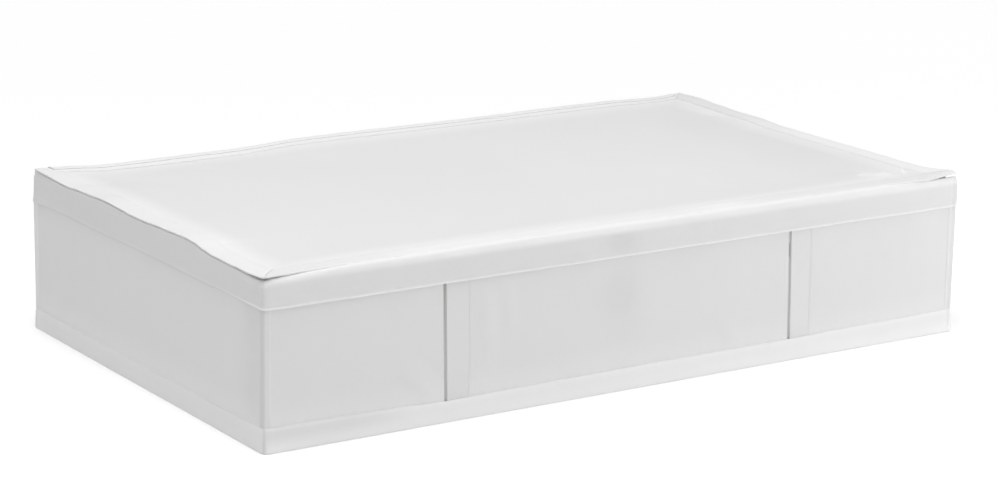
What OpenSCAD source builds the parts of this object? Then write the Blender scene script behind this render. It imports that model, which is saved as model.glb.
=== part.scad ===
// Under-bed storage case. A cloth shell is stiffened by boards in sewn pockets, and a cloth lid
// folds back along the rear edge. A zip runs along the front and both ends.
// Millimetres. The origin is the middle of the footprint, on the floor. +X runs along the long
// side, -Y is the front and +Z is up.

/* [Case] */
// Outside length along X
case_l = 930; // [800:10:1100]
// Outside depth along Y
case_d = 550; // [450:10:700]
// Outside height along Z
case_h = 190; // [170:5:240]

/* [Walls] */
// Height of the hem around the foot of the walls
hem_h = 21; // [12:1:30]
// Height of the soft band above the boards
band_h = 35; // [32:1:45]
// Width of the fold strips in the long walls
fold_w = 28; // [16:1:40]
// Width of the slit where each board goes into its pocket
slit_w = 3; // [1:0.5:6]
// Width of each leg of a corner binding
corner_leg = 6; // [4:1:12]
// Gap between the boards in the base, where the base folds
base_fold_gap = 10; // [6:1:20]

/* [Layers] */
// Thickness of one layer of cloth
cloth_t = 0.6; // [0.5:0.1:0.8]
// Thickness of a stiffening board
board_t = 2.6; // [2:0.1:3.5]
// Slack between a board and the cloth of its pocket
slack = 0.1; // [0.1:0.05:0.3]

/* [Lid] */
// Thickness of the lid cloth
lid_t = 0.8; // [0.6:0.1:1.2]
// Width of the hem around the lid
lid_border_w = 25; // [15:1:40]
// Thickness of the hem around the lid
lid_border_t = 0.8; // [0.6:0.1:1.2]

/* [Zip] */
// Width of one side of the coil
coil_w = 2.6; // [2.2:0.1:3]
// Thickness of the coil
coil_t = 2; // [1.6:0.1:2.4]
// Width of the tape below the coil
tape_w = 14; // [10:1:18]
// Thickness of the tape
tape_t = 0.5; // [0.4:0.1:0.6]
// Radius of the turn at each front corner
zip_corner_r = 18; // [12:1:30]
// Distance from the back of the case to the ends of the zip
zip_end_in = 19; // [16:1:40]

/* [Slider] */
// Length of the slider
slider_l = 10; // [9:0.5:12]
// Width of the slider's plates
slider_w = 8.8; // [8.8:0.1:9.2]
// Thickness of each plate
plate_t = 0.85; // [0.7:0.05:0.9]
// Length of the pull, from its pin to its tip
pull_l = 20; // [14:1:22]
// Width of the pull
pull_w = 6; // [5.6:0.1:6.4]

/* [Hidden] */
$fn = 64;

cloth_colour = [0.93, 0.93, 0.94];
trim_colour = [0.96, 0.96, 0.97];
lining_colour = [0.87, 0.87, 0.88];
board_colour = [0.62, 0.61, 0.59];
zip_colour = [0.9, 0.9, 0.9];
metal_colour = [0.82, 0.82, 0.83];

// Small gaps: between bodies that pass each other, and a cut that clears a face
clearance = 0.3;
cut = 1;

half_l = case_l / 2;
half_d = case_d / 2;

// Depth of each layer, measured inwards from the outside of the case
skin_in = cloth_t;
board_in = skin_in + cloth_t + slack;
lining_in = board_in + board_t + slack;
lining_inner = lining_in + cloth_t;
band_t = 2 * cloth_t;
band_in = lining_in + cloth_t / 2 - band_t / 2;
band_inner = band_in + band_t;
tape_mid_in = band_inner + tape_t / 2;
strip_t = cloth_t;

// Heights of the base layers and of the walls
base_board_z = cloth_t + slack;
base_lining_z = base_board_z + board_t + slack;
floor_z = base_lining_z + cloth_t;
seam_z = case_h - band_h;
board_top_z = seam_z - 2;

// Heights of the lid and zip, from the top down
lid_border_z = case_h - lid_border_t;
lid_z = lid_border_z - lid_t;
lid_tape_h = 1.6;
coil_gap = 1.6;
lid_coil_z = lid_z - lid_tape_h - coil_w;
zip_z = lid_coil_z - coil_gap / 2;
wall_coil_z = zip_z - coil_gap / 2 - coil_w;
zip_band_top = wall_coil_z - 2;
back_band_top = lid_z - clearance;
zip_end_y = half_d - zip_end_in;
stop_l = 2;

// Hinge line of the lid, along the top of the back wall
hinge_y = half_d - 2.2;
hinge_z = lid_z - 0.15;
lid_back_y = hinge_y - 0.8;

// Panels of the long walls: the folds are a quarter of the length from each end
fold_x = case_l / 4;
fold_half = (fold_w + slit_w) / 2;
end_panel_w = half_l - skin_in - fold_x - fold_half;

// Slider, seen from outside the right end; it is parked at the back
slider_y = zip_end_y - slider_l / 2 - 0.4;
plate_x = coil_t / 2 + clearance;
plate_corner_r = 2;
lip_h = 0.6;
web_h = coil_gap - 2 * clearance;
pin_r = 0.55;
eye_bore_r = pin_r + 0.1;
eye_r = 1.2;
eye_l = 5.2;
crown_leg = 1;
pin_x = plate_x + plate_t + eye_r + 0.25;
pull_t = 1;

// A box that spans the given ranges along X, Y and Z
module span(x, y, z) {
    translate([x[0], y[0], z[0]])
        cube([x[1] - x[0], y[1] - y[0], z[1] - z[0]]);
}

// A sheet in the front wall: its depth range, then its ranges along X and Z
module front_sheet(depth, x, z) {
    span(x, [-half_d + depth[0], -half_d + depth[1]], z);
}

// A sheet in the left end wall: its depth range, then its ranges along Y and Z
module left_sheet(depth, y, z) {
    span([-half_l + depth[0], -half_l + depth[1]], y, z);
}

// The back wall is the front wall turned half round, and so is the right end
module opposite() {
    rotate([0, 0, 180])
        children();
}

// ---- Base ----

module base_skin() {
    color(cloth_colour)
        span([-half_l + skin_in, half_l - skin_in], [-half_d + skin_in, half_d - skin_in], [0, cloth_t]);
}

// A board of the base between two places along X
module base_board(x) {
    color(board_colour)
        span(x, [-half_d + board_in, half_d - board_in], [base_board_z, base_board_z + board_t]);
}

module base_board_left() {
    base_board([-half_l + board_in, -fold_x - base_fold_gap / 2]);
}

module base_board_middle() {
    base_board([-fold_x + base_fold_gap / 2, fold_x - base_fold_gap / 2]);
}

module base_board_right() {
    base_board([fold_x + base_fold_gap / 2, half_l - board_in]);
}

module base_lining() {
    color(lining_colour)
        span([-half_l + board_in, half_l - board_in], [-half_d + board_in, half_d - board_in],
            [base_lining_z, floor_z]);
}

// ---- Long walls: each module makes the front wall's piece ----

module pocket(x) {
    color(cloth_colour)
        front_sheet([skin_in, skin_in + cloth_t], x, [cloth_t, seam_z]);
}

module pocket_first() {
    pocket([-half_l + skin_in, -half_l + skin_in + end_panel_w]);
}

module pocket_second() {
    pocket([-fold_x + fold_half, fold_x - fold_half]);
}

module pocket_third() {
    pocket([half_l - skin_in - end_panel_w, half_l - skin_in]);
}

// A fold strip, with the slit on its left
module fold(x) {
    color(trim_colour)
        front_sheet([skin_in, skin_in + cloth_t], [x - fold_half + slit_w, x + fold_half], [cloth_t, seam_z]);
}

module long_board(x) {
    color(board_colour)
        front_sheet([board_in, board_in + board_t], x, [floor_z + slack, board_top_z]);
}

module board_first() {
    long_board([-half_l + board_in, -fold_x - fold_w / 2]);
}

module board_second() {
    long_board([-fold_x + fold_w / 2, fold_x - fold_w / 2]);
}

module board_third() {
    long_board([fold_x + fold_w / 2, half_l - board_in]);
}

module long_lining() {
    color(lining_colour)
        front_sheet([lining_in, lining_inner], [-half_l + lining_in, half_l - lining_in], [floor_z, seam_z]);
}

// The soft band above the seam, up to the given height
module long_band(top) {
    color(cloth_colour)
        front_sheet([band_in, band_inner], [-half_l + band_in, half_l - band_in], [seam_z, top]);
}

module long_hem() {
    color(trim_colour)
        front_sheet([0, cloth_t], [-half_l, half_l], [0, hem_h]);
}

module front_pocket_left() {
    pocket_first();
}

module front_pocket_middle() {
    pocket_second();
}

module front_pocket_right() {
    pocket_third();
}

module front_fold_left() {
    fold(-fold_x);
}

module front_fold_right() {
    fold(fold_x);
}

module front_board_left() {
    board_first();
}

module front_board_middle() {
    board_second();
}

module front_board_right() {
    board_third();
}

module front_lining() {
    long_lining();
}

module front_band() {
    long_band(zip_band_top);
}

module front_hem() {
    long_hem();
}

module back_pocket_left() {
    opposite()
        pocket_third();
}

module back_pocket_middle() {
    opposite()
        pocket_second();
}

module back_pocket_right() {
    opposite()
        pocket_first();
}

module back_fold_left() {
    opposite()
        fold(fold_x);
}

module back_fold_right() {
    opposite()
        fold(-fold_x);
}

module back_board_left() {
    opposite()
        board_third();
}

module back_board_middle() {
    opposite()
        board_second();
}

module back_board_right() {
    opposite()
        board_first();
}

module back_lining() {
    opposite()
        long_lining();
}

module back_band() {
    opposite()
        long_band(back_band_top);
}

module back_hem() {
    opposite()
        long_hem();
}

// ---- End walls: each module makes the left end's piece ----

module end_skin() {
    color(cloth_colour)
        left_sheet([skin_in, skin_in + cloth_t],
            [-half_d + skin_in + cloth_t, half_d - skin_in - cloth_t], [cloth_t, seam_z]);
}

module end_board() {
    reach = half_d - board_in - board_t - slack;
    color(board_colour)
        left_sheet([board_in, board_in + board_t], [-reach, reach], [floor_z + slack, board_top_z]);
}

module end_lining() {
    color(lining_colour)
        left_sheet([lining_in, lining_inner], [-half_d + lining_inner, half_d - lining_inner],
            [floor_z, seam_z]);
}

module end_band() {
    color(cloth_colour)
        left_sheet([band_in, band_inner], [-half_d + band_inner, half_d - band_inner],
            [seam_z, zip_band_top]);
}

module end_hem() {
    color(trim_colour)
        left_sheet([0, cloth_t], [-half_d + cloth_t, half_d - cloth_t], [0, hem_h]);
}

module left_skin() {
    end_skin();
}

module left_board() {
    end_board();
}

module left_lining() {
    end_lining();
}

module left_band() {
    end_band();
}

module left_hem() {
    end_hem();
}

module right_skin() {
    opposite()
        end_skin();
}

module right_board() {
    opposite()
        end_board();
}

module right_lining() {
    opposite()
        end_lining();
}

module right_band() {
    opposite()
        end_band();
}

module right_hem() {
    opposite()
        end_hem();
}

// ---- Corner bindings: an angle of tape over each upright seam, from the hem to the top seam ----

module corner_binding() {
    color(trim_colour)
        translate([0, 0, hem_h])
            linear_extrude(seam_z - hem_h)
                difference() {
                    translate([-half_l, -half_d])
                        square(corner_leg);
                    translate([-half_l + cloth_t, -half_d + cloth_t])
                        square(corner_leg);
                }
}

module corner_front_left() {
    corner_binding();
}

module corner_front_right() {
    mirror([1, 0, 0])
        corner_binding();
}

module corner_back_left() {
    mirror([0, 1, 0])
        corner_binding();
}

module corner_back_right() {
    opposite()
        corner_binding();
}

// ---- Hinge of the lid ----

module hinge_strip() {
    color(trim_colour)
        opposite()
            front_sheet([band_in - strip_t, band_in], [-half_l + zip_corner_r, half_l - zip_corner_r],
                [seam_z + 5, back_band_top - 0.2]);
}

// ---- Zip: a run along the left end, the front and the right end ----

// The area inside the zip at the given depth, with round front corners and an open back
module zip_outline(depth, y_end) {
    r = zip_corner_r - depth;
    corner_x = half_l - zip_corner_r;
    corner_y = -half_d + zip_corner_r;
    translate([-half_l + depth, corner_y])
        square([case_l - 2 * depth, y_end - corner_y]);
    translate([-corner_x, -half_d + depth])
        square([2 * corner_x, r + cut]);
    for (side = [-1, 1])
        translate([side * corner_x, corner_y])
            circle(r);
}

// A run of the zip with the given thickness, centred in the zip's own depth
module zip_run(thickness, z) {
    translate([0, 0, z[0]])
        linear_extrude(z[1] - z[0])
            difference() {
                zip_outline(tape_mid_in - thickness / 2, zip_end_y);
                zip_outline(tape_mid_in + thickness / 2, zip_end_y + cut);
            }
}

module zip_tape_wall() {
    color(zip_colour)
        zip_run(tape_t, [wall_coil_z - tape_w, wall_coil_z]);
}

module zip_coil_wall() {
    color(zip_colour)
        zip_run(coil_t, [wall_coil_z, wall_coil_z + coil_w]);
}

module zip_coil_lid() {
    color(zip_colour)
        zip_run(coil_t, [lid_coil_z, lid_coil_z + coil_w]);
}

module zip_tape_lid() {
    color(zip_colour)
        zip_run(tape_t, [lid_coil_z + coil_w, lid_z]);
}

// A block at the end of the zip on the left end; it starts this far behind the coils
module zip_block(depth, behind, length, z) {
    left_sheet(depth, [zip_end_y + behind, zip_end_y + behind + length], z);
}

// The cloth tabs that cover the ends of the tape
module zip_end_tabs() {
    color(trim_colour)
        for (side = [0, 1])
            mirror([side, 0, 0])
                zip_block([band_inner, band_inner + 1.1], 0, 10, [wall_coil_z - tape_w - 4, wall_coil_z]);
}

// The clamp that closes the left end of the zip
module zip_bottom_stop() {
    color(metal_colour)
        zip_block([tape_mid_in - coil_t / 2, tape_mid_in + coil_t / 2], clearance, stop_l,
            [wall_coil_z, lid_coil_z + coil_w]);
}

module zip_top_stop_wall() {
    color(metal_colour)
        mirror([1, 0, 0])
            zip_block([tape_mid_in - coil_t / 2, tape_mid_in + coil_t / 2], 0, stop_l,
                [wall_coil_z, wall_coil_z + coil_w + clearance]);
}

module zip_top_stop_lid() {
    color(metal_colour)
        mirror([1, 0, 0])
            zip_block([tape_mid_in - coil_t / 2, tape_mid_in + coil_t / 2], 0, stop_l,
                [lid_coil_z - clearance, lid_coil_z + coil_w]);
}

// ---- Lid ----

module lid_panel() {
    color(cloth_colour)
        span([-half_l, half_l], [-half_d, lid_back_y], [lid_z, lid_border_z]);
}

// A strip of the lid's hem, with mitred ends, from its outline
module lid_border(outline) {
    color(trim_colour)
        translate([0, 0, lid_border_z])
            linear_extrude(lid_border_t)
                polygon(outline);
}

module lid_border_front() {
    lid_border([[-half_l, -half_d], [half_l, -half_d],
        [half_l - lid_border_w, -half_d + lid_border_w],
        [-half_l + lid_border_w, -half_d + lid_border_w]]);
}

module lid_border_back() {
    lid_border([[-half_l, lid_back_y], [half_l, lid_back_y],
        [half_l - lid_border_w, lid_back_y - lid_border_w],
        [-half_l + lid_border_w, lid_back_y - lid_border_w]]);
}

module lid_border_left() {
    lid_border([[-half_l, -half_d], [-half_l, lid_back_y],
        [-half_l + lid_border_w, lid_back_y - lid_border_w],
        [-half_l + lid_border_w, -half_d + lid_border_w]]);
}

module lid_border_right() {
    mirror([1, 0, 0])
        lid_border_left();
}

// ---- Slider and pull, on the right end ----

// A plate of the slider, seen from the end of the case
module slider_plate() {
    flat_l = slider_l - 2 * plate_corner_r;
    flat_w = slider_w - 2 * plate_corner_r;
    rotate([90, 0, 90])
        linear_extrude(plate_t) {
            square([slider_l, flat_w], center = true);
            square([flat_l, slider_w], center = true);
            for (x = [-1, 1], y = [-1, 1])
                translate([x * flat_l / 2, y * flat_w / 2])
                    circle(plate_corner_r);
        }
}

// The two plates, the web between them that runs in the gap of the coils, the lips that
// hold the wall's coil, and the crown that carries the pull
module slider_body() {
    lip_l = slider_l - 2 * plate_corner_r;
    lip_x = plate_x - tape_t / 2 - 0.4;
    crown_half = eye_l / 2 + clearance;
    color(metal_colour)
        translate([half_l - tape_mid_in, slider_y, zip_z]) {
            translate([plate_x, 0, 0])
                slider_plate();
            translate([-plate_x - plate_t, 0, 0])
                slider_plate();
            span([-plate_x, plate_x], [0.5, 4], [-web_h / 2, web_h / 2]);
            for (side = [-1, 1])
                translate([side * (plate_x - lip_x / 2), 0, -slider_w / 2 + lip_h / 2])
                    cube([lip_x, lip_l, lip_h], center = true);
            for (side = [-1, 1])
                translate([(plate_x + plate_t + pin_x) / 2, side * (crown_half + crown_leg / 2), 0])
                    cube([pin_x - plate_x - plate_t, crown_leg, 2 * pin_r], center = true);
            translate([pin_x, crown_half + crown_leg, 0])
                rotate([90, 0, 0])
                    cylinder(h = 2 * (crown_half + crown_leg), r = pin_r);
        }
}

// The pull hangs from the crown by a rolled eye
module pull_tab() {
    neck_w = eye_l - 0.4;
    neck_z = -2.6;
    tip_r = pull_w / 2;
    window_w = 2.4;
    color(metal_colour)
        translate([half_l - tape_mid_in + pin_x, slider_y, zip_z])
            difference() {
                union() {
                    translate([0, eye_l / 2, 0])
                        rotate([90, 0, 0])
                            cylinder(h = eye_l, r = eye_r);
                    span([-pull_t / 2, pull_t / 2], [-neck_w / 2, neck_w / 2], [neck_z, -eye_bore_r - 0.1]);
                    span([-pull_t / 2, pull_t / 2], [-pull_w / 2, pull_w / 2], [tip_r - pull_l, neck_z]);
                    translate([-pull_t / 2, 0, tip_r - pull_l])
                        rotate([0, 90, 0])
                            cylinder(h = pull_t, r = tip_r);
                }
                translate([0, eye_l / 2 + cut, 0])
                    rotate([90, 0, 0])
                        cylinder(h = eye_l + 2 * cut, r = eye_bore_r);
                span([-pull_t, pull_t], [-window_w / 2, window_w / 2], [tip_r - pull_l, tip_r + 4 - pull_l]);
            }
}

base_skin();
base_board_left();
base_board_middle();
base_board_right();
base_lining();
front_pocket_left();
front_pocket_middle();
front_pocket_right();
front_fold_left();
front_fold_right();
front_board_left();
front_board_middle();
front_board_right();
front_lining();
front_band();
front_hem();
back_pocket_left();
back_pocket_middle();
back_pocket_right();
back_fold_left();
back_fold_right();
back_board_left();
back_board_middle();
back_board_right();
back_lining();
back_band();
back_hem();
left_skin();
left_board();
left_lining();
left_band();
left_hem();
right_skin();
right_board();
right_lining();
right_band();
right_hem();
corner_front_left();
corner_front_right();
corner_back_left();
corner_back_right();
hinge_strip();
zip_tape_wall();
zip_coil_wall();
zip_end_tabs();
zip_bottom_stop();
zip_top_stop_wall();
lid_panel();
lid_border_front();
lid_border_back();
lid_border_left();
lid_border_right();
zip_tape_lid();
zip_coil_lid();
zip_top_stop_lid();
slider_body();
pull_tab();
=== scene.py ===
import math

import bpy
import numpy as np
from mathutils import Matrix, Vector


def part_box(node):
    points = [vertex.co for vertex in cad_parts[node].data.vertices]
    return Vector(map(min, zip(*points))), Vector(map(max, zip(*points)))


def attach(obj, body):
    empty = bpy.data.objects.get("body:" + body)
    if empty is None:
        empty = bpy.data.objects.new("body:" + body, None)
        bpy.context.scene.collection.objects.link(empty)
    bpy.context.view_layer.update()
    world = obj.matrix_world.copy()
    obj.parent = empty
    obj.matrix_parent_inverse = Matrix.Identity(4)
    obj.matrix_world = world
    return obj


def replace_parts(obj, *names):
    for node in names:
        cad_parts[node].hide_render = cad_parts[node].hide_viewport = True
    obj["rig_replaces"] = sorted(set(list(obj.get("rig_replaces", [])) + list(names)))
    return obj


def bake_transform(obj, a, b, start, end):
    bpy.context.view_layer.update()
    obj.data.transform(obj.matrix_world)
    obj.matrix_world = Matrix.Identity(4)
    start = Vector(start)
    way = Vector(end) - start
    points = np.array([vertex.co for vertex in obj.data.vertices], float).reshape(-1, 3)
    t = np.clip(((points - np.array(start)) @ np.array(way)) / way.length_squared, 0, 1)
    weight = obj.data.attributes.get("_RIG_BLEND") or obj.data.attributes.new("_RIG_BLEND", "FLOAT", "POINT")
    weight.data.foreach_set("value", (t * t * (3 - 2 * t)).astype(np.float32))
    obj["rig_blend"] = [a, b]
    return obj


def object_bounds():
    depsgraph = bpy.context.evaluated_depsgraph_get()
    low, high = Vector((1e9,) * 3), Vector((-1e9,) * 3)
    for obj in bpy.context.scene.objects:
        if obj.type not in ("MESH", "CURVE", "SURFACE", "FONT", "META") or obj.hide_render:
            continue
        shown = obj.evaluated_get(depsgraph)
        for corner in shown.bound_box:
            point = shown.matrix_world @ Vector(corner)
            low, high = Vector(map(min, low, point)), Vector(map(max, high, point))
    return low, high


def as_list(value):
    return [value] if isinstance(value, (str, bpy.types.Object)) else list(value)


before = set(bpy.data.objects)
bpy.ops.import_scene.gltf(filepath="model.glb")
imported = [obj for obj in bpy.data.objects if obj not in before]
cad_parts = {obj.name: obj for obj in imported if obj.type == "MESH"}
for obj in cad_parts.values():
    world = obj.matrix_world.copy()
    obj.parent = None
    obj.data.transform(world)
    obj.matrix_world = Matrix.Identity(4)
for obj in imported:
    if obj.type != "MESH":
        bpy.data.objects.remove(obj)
CAD_LOW, CAD_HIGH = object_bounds()

# ---- Sizes, in metres, from the frame ----

MM = 0.001
HALF_L = CAD_HIGH.x
HALF_D = CAD_HIGH.y
SEAM_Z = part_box("front_pocket_left")[1].z
HEM_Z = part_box("front_hem")[1].z
BASE_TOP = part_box("base_lining")[1].z
LID_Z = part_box("lid_panel")[1].z
LID_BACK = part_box("lid_panel")[1].y
BORDER_W = HALF_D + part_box("lid_border_front")[1].y
ZIP_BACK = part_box("zip_coil_wall")[1].y
COIL_DEPTH = HALF_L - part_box("zip_coil_wall")[1].x + 1 * MM
FOLD_STRIPS = {
    name: (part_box(name)[0].x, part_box(name)[1].x) for name in ("front_fold_left", "front_fold_right")
}
# The boards meet on a line this far to each side of the middle
FOLD_X = -(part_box("base_board_left")[1].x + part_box("base_board_middle")[0].x) / 2
FOLD_LINES = (-FOLD_X, FOLD_X)

STEP = 4 * MM           # spacing of a cloth's grid
CORNER_R = 3 * MM       # outer cloth round an upright corner
LINING_R = 9 * MM       # lining round an upright corner
ZIP_R = 18 * MM         # zip round a front corner, at the outside plane
THREAD_R = 0.2 * MM
STITCH_PITCH = 3.6 * MM
STITCH_L = 2.7 * MM
STITCH_IN = 2.2 * MM    # from a cloth's edge to its stitches
SKIN_DEPTH = 0.35 * MM  # pockets and end walls, in from the outside plane
SLIT_W = 3.9 * MM       # the open slit beside a fold strip
BINDING_LEG = 8.5 * MM  # each half of a corner's binding
HINGE_IN = 17 * MM      # from the lid's ends to the hinge strip's
FILAMENT_R = 0.24 * MM
COIL_Z = {"zip_coil_wall": 181.9 * MM, "zip_coil_lid": 184.9 * MM}
THICK = {
    "skin": 0.4 * MM, "strip": 0.35 * MM, "hem": 0.3 * MM, "band": 0.5 * MM, "binding": 0.38 * MM,
    "floor": 0.45 * MM, "lid": 0.6 * MM, "border": 0.42 * MM, "hinge": 0.4 * MM, "facing": 0.35 * MM,
    "tape": 0.4 * MM, "tab": 0.8 * MM,
}
# The flat widths that the narrow cloths are cut to
CUT = {
    "hem": 31.5 * MM, "band": 42 * MM, "low band": 32 * MM, "border": 31 * MM, "hinge": 45 * MM,
    "facing": 25 * MM, "wall tape": 14.6 * MM, "lid tape": 10.5 * MM,
}
TAB_CUT = (24 * MM, 21 * MM)

# Each side: the direction along it, the direction out of it, half its length, and how far out its plane is
SIDES = {
    "front": ((1, 0, 0), (0, -1, 0), HALF_L, HALF_D),
    "right": ((0, 1, 0), (1, 0, 0), HALF_D, HALF_L),
    "back": ((-1, 0, 0), (0, 1, 0), HALF_L, HALF_D),
    "left": ((0, -1, 0), (-1, 0, 0), HALF_D, HALF_L),
}
UP = np.array((0.0, 0.0, 1.0))


# ---- Number helpers ----

def smooth(x, low, high):
    """0 below low, 1 above high, with an S curve between them."""
    t = np.clip((x - low) / (high - low), 0, 1)
    return t * t * (3 - 2 * t)


def through(x, points):
    """A gentle wave through a few (place, height) points in millimetres, level at each of them."""
    places, heights = np.array(points, float).T * MM
    i = np.clip(np.searchsorted(places, x) - 1, 0, len(places) - 2)
    return heights[i] + (heights[i + 1] - heights[i]) * smooth(x, places[i], places[i + 1])


def rounded(points, count):
    """count evenly spaced points on a Catmull-Rom curve through the given ones."""
    p = np.array(points, float)
    p = np.vstack([2 * p[0] - p[1], p, 2 * p[-1] - p[-2]])
    t = np.linspace(0, 1, 12, endpoint=False)[:, None]
    runs = []
    for a, b, c, d in zip(p, p[1:], p[2:], p[3:]):
        curve = 2 * b + (c - a) * t + (2 * a - 5 * b + 4 * c - d) * t**2 + (3 * b - a - 3 * c + d) * t**3
        runs.append(0.5 * curve)
    line = np.vstack([*runs, p[-2:-1]])
    return resample(line, count)


def distances(line):
    """How far along a line of points each of them is."""
    return np.concatenate([[0], np.cumsum(np.linalg.norm(np.diff(line, axis=0), axis=1))])


def unit(vectors):
    return vectors / np.maximum(np.linalg.norm(vectors, axis=-1, keepdims=True), 1e-12)


def resample(line, count):
    """count evenly spaced points along a line of points."""
    far = distances(line)
    at = np.linspace(0, far[-1], count)
    return np.stack([np.interp(at, far, line[:, k]) for k in range(line.shape[1])], axis=1)


def spread(low, high, step=STEP):
    return np.linspace(low, high, max(2, round((high - low) / step) + 1))


def bell(far, width):
    """1 where far is 0, and close to 0 from two widths away."""
    return np.exp(-((far / width) ** 2))


def nearest(values, wanted):
    return int(np.argmin(np.abs(values - wanted)))


def spots(x, y, z):
    """Points from their coordinates, which may be numbers or arrays of different shapes."""
    return np.stack(np.broadcast_arrays(x, y, z), axis=-1)


def ripple(place, wave, seed, stretch=(1, 1, 1)):
    """Smooth uneven waves, mostly from -1 to 1, about wave metres long. stretch makes them longer
    along an axis."""
    rng = np.random.default_rng(seed)
    total = 0
    for octave in range(3):
        for _ in range(6):
            way = rng.normal(size=3)
            way *= 2**octave * rng.uniform(0.7, 1.3) / np.linalg.norm(way) / np.array(stretch)
            total = total + 0.5**octave * np.sin(place @ way * math.tau / wave + rng.uniform(0, math.tau))
    return total / 3.2


def crease(a, b, start, end, width, height):
    """A soft ridge, or a valley where height is below 0, from start to end on a surface with coordinates
    a and b. The last four values are in millimetres."""
    s, e = np.array(start) * MM, np.array(end) * MM
    run = e - s
    t = np.clip(((a - s[0]) * run[0] + (b - s[1]) * run[1]) / (run @ run), 0, 1)
    off = np.hypot(a - s[0] - t * run[0], b - s[1] - t * run[1])
    return height * MM * bell(off, width * MM) * (0.35 + 0.65 * np.sin(math.pi * t))


# ---- The wall's shape ----

def wall(side, u, z, depth, corner=CORNER_R):
    """The point at u along a side and at height z, a depth in from the outside plane. Past the straight part
    the wall turns a round corner, up to halfway."""
    along, out, half, plane = SIDES[side]
    u, z, depth = np.broadcast_arrays(u, z, depth)
    straight = half - corner
    turn = np.clip(np.abs(u) - straight, 0, None) / corner
    run = np.clip(u, -straight, straight) + np.sign(u) * (corner - depth) * np.sin(turn)
    away = plane - corner + (corner - depth) * np.cos(turn)
    return run[..., None] * np.array(along) + away[..., None] * np.array(out) + z[..., None] * UP


def half_turn(side, corner=CORNER_R):
    """How far u goes along a side, to the middle of its round corner."""
    return SIDES[side][2] - corner + corner * math.pi / 4


def columns(side, step=STEP, corner=CORNER_R):
    """Places along a side, round to the middle of both corners, and closer together there."""
    last, straight = half_turn(side, corner), SIDES[side][2] - corner
    close = 12 * MM
    near = np.concatenate([np.linspace(straight - close, straight, 13), np.linspace(straight, last, 5)[1:]])
    return np.concatenate([-near[:0:-1], spread(close - straight, straight - close, step), near[1:]])


# Wrinkles seen on single walls: start and end as (along, height), width and height, in millimetres
WRINKLES = {
    "front": [
        ((-300, 66), (-262, 28), 7, 1.9), ((-285, 82), (-252, 52), 7, -1.2),
        ((-200, 150), (-188, 60), 9, 1.5), ((-172, 152), (-160, 92), 8, 1.1),
        ((-22, 150), (-14, 84), 18, -1.6), ((118, 60), (150, 28), 9, 1.4),
        ((300, 150), (318, 96), 11, 0.5), ((-420, 60), (-395, 30), 9, 0.4), ((404, 150), (392, 88), 10, 0.5),
    ],
    "left": [
        ((-232, 28), (-176, 88), 11, 1.1), ((-205, 26), (-140, 74), 9, -0.8),
        ((-250, 60), (-200, 118), 12, 0.7), ((-262, 188), (-236, 150), 9, -1.3),
        ((-60, 70), (20, 60), 10, 0.4), ((60, 140), (190, 150), 7, 0.5),
    ],
    "right": [
        ((-180, 40), (-120, 90), 12, 0.8), ((120, 60), (180, 28), 10, 0.8), ((20, 120), (70, 140), 9, 0.5),
    ],
    "back": [
        ((-330, 50), (-290, 100), 12, 0.7), ((60, 40), (110, 90), 12, 0.6), ((280, 120), (320, 80), 10, 0.6),
    ],
}


def seam_ridge(side, u):
    """The upright seams are pinched: a ridge along the corner, and a shallow valley on each side of it.
    The front left one is pressed in instead."""
    far = half_turn(side) - np.abs(u)
    ridge = 1.3 * MM * bell(far, 1.7 * MM)
    ridge = ridge - 0.25 * MM * bell(far - 4.6 * MM, 2.2 * MM)
    pressed = -0.6 * MM * bell(far, 2.8 * MM) + 0.4 * MM * bell(far - 6.5 * MM, 2.4 * MM)
    pressed = pressed - 0.5 * MM * np.exp(-far / (14 * MM))
    at_front_left = {"front": u < 0, "left": u > 0}.get(side, False)
    return np.where(at_front_left, pressed, ridge)


def drape(side, u, z):
    """How far the outer cloth stands out: slack over the boards, puckers at the seams."""
    u, z = np.broadcast_arrays(u, z)
    place = wall(side, u, z, 0)
    inside = smooth(half_turn(side) - np.abs(u), 4 * MM, 55 * MM)
    slack = 0.55 + 0.45 * ripple(place, 0.22, 4) + 0.42 * ripple(place, 0.07, 9, (1, 1, 1.8))
    gather = ripple(place, 0.026, 21, (1, 1, 5))
    near = np.exp(-np.abs(z - SEAM_Z) / (14 * MM)) + np.exp(-np.abs(z - HEM_Z) / (14 * MM))
    out = MM * (0.35 + 0.9 * slack * inside + 0.16 * gather * near)
    for start, end, width, height in WRINKLES[side]:
        out = out + crease(u, z, start, end, width, height)
    return np.clip(out, 0.12 * MM, None) + seam_ridge(side, u)


# ---- The top edge, which is not quite level ----

# For each side: (place along it, height) of the lid's edge over its level place, in millimetres
LID_EDGES = {
    "front": [
        (-465, -1.4), (-420, -1.7), (-330, -0.5), (-120, 0.5), (60, -0.1), (240, 0.6), (400, 0.8), (465, 1.2),
    ],
    "right": [
        (-275, 1.2), (-235, 0.0), (50, -0.3), (100, 2.0), (141, 1.8), (184, 3.2), (227, 5.2), (275, 4.2),
    ],
    "back": [
        (-465, 3.6), (-432, 0.6), (-338, 3.4), (-250, 3.2), (-110, 2.0), (40, 2.6), (110, 2.2), (215, -1.8),
        (380, -2.4), (432, 0.8), (465, 3.4),
    ],
    "left": [
        (-275, 3.8), (-245, 2.2), (-190, 0.2), (-150, 2.4), (-95, 3.8), (-5, 1.4), (60, 3.2), (100, 4.4),
        (124, 3.4), (143, 0.4), (166, -1.8), (225, -2.6), (255, -2.8), (275, -1.4),
    ],
}


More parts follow.
